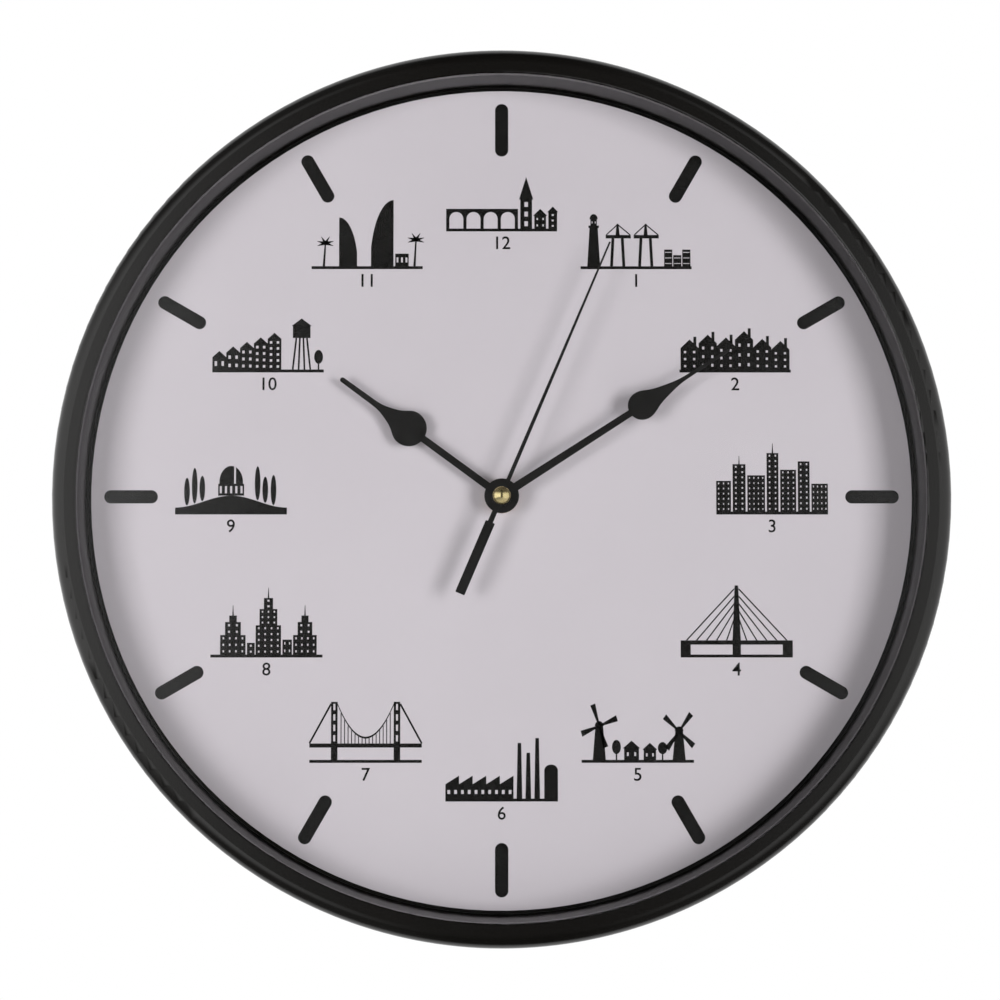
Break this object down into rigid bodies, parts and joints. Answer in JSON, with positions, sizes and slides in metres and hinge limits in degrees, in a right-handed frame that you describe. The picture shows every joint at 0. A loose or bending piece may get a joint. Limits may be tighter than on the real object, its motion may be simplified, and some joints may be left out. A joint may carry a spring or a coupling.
{
  "type": "wall clock",
  "caption": "Round wall clock with a deep black frame, flat glass, printed dial, swollen leaf hands, brass centre cap, keyhole hanger and a geared quartz movement with a lift-out cell.",
  "frame": {"origin": "on the axis of the hands, in the plane of the wall behind the clock", "axes": "+Z to 12 o'clock, -Y out of the dial towards the viewer, +X to 3 o'clock"},
  "size_m": [0.3, 0.0413, 0.3],
  "materials": {
    "frame_plastic": "satin",
    "case_plastic": "satin",
    "clear_glass": "polished",
    "dial_card": "matte",
    "hand_black": "satin",
    "polished_brass": "polished",
    "turned_brass": "satin",
    "washer_rubber": "matte",
    "zinc_steel": "satin",
    "motor_iron": "matte",
    "magnet": "satin",
    "copper_wire": "gloss",
    "movement_plastic": "matte",
    "gear_plastic": "satin",
    "knob_plastic": "satin",
    "board_green": "satin",
    "chip_resin": "gloss",
    "crystal_can": "polished",
    "cell_jacket": "gloss"
  },
  "bodies": {
    "case": {"bezel_ring": "frame_plastic", "lens_glass": "clear_glass", "back_case": "case_plastic", "case_screws": "zinc_steel", "dial_plate": "dial_card", "movement_rear_case": "movement_plastic", "movement_front_case": "movement_plastic", "threaded_bush": "turned_brass", "rubber_washer": "washer_rubber", "dial_washer": "turned_brass", "hex_nut": "turned_brass", "circuit_board": "board_green", "chip_drop": "chip_resin", "quartz_crystal": "crystal_can", "stator": "motor_iron", "coil_core": "motor_iron", "coil_bobbin": "gear_plastic", "coil_winding": "copper_wire", "motor_screws": "zinc_steel", "positive_contact": "zinc_steel", "negative_contact": "zinc_steel"},
    "minute_works": {"minute_tube": "turned_brass", "centre_wheel": "gear_plastic", "minute_hand": "hand_black"},
    "seconds_works": {"seconds_wheel": "gear_plastic", "seconds_arbor": "zinc_steel", "second_hand": "hand_black", "second_hand_cap": "polished_brass"},
    "hour_works": {"hour_wheel": "gear_plastic", "hour_collet": "turned_brass", "hour_hand": "hand_black"},
    "third_works": {"third_wheel": "gear_plastic"},
    "intermediate_works": {"intermediate_wheel": "gear_plastic"},
    "rotor": {"rotor_pinion": "gear_plastic", "rotor_magnet": "magnet"},
    "setting_works": {"set_knob": "knob_plastic", "reversing_wheel": "gear_plastic"},
    "cell": {"battery_cell": "cell_jacket"}
  },
  "joints": [
    {"name": "seconds_turn", "type": "hinge", "parent": "case", "child": "seconds_works", "pos_m": [0, -0.01, 0], "axis": [0, 1, 0], "continuous": true},
    {"name": "minute_turn", "type": "hinge", "parent": "case", "child": "minute_works", "pos_m": [0, -0.01, 0], "axis": [0, 1, 0], "continuous": true},
    {"name": "hour_turn", "type": "hinge", "parent": "case", "child": "hour_works", "pos_m": [0, -0.01, 0], "axis": [0, 1, 0], "continuous": true},
    {"name": "third_turn", "type": "hinge", "parent": "case", "child": "third_works", "pos_m": [0.00269, -0.01, 0.01005], "axis": [0, 1, 0], "continuous": true},
    {"name": "intermediate_turn", "type": "hinge", "parent": "case", "child": "intermediate_works", "pos_m": [0.0106, -0.01, 0.00093], "axis": [0, 1, 0], "continuous": true},
    {"name": "rotor_turn", "type": "hinge", "parent": "case", "child": "rotor", "pos_m": [0.0142, -0.01, 0.00716], "axis": [0, 1, 0], "continuous": true},
    {"name": "setting_turn", "type": "hinge", "parent": "case", "child": "setting_works", "pos_m": [-0.0116, -0.01, 0], "axis": [0, 1, 0], "continuous": true},
    {"name": "battery_slide", "type": "slide", "parent": "case", "child": "cell", "axis": [0, 1, 0], "range_m": [0, 0.03]}
  ],
  "couplings": [
    {"joint": "minute_turn", "follows": "seconds_turn", "ratio": 0.016667},
    {"joint": "hour_turn", "follows": "seconds_turn", "ratio": 0.0013889},
    {"joint": "third_turn", "follows": "seconds_turn", "ratio": -0.16667},
    {"joint": "intermediate_turn", "follows": "seconds_turn", "ratio": -6},
    {"joint": "rotor_turn", "follows": "seconds_turn", "ratio": 30},
    {"joint": "setting_turn", "follows": "seconds_turn", "ratio": -0.0041667}
  ]
}
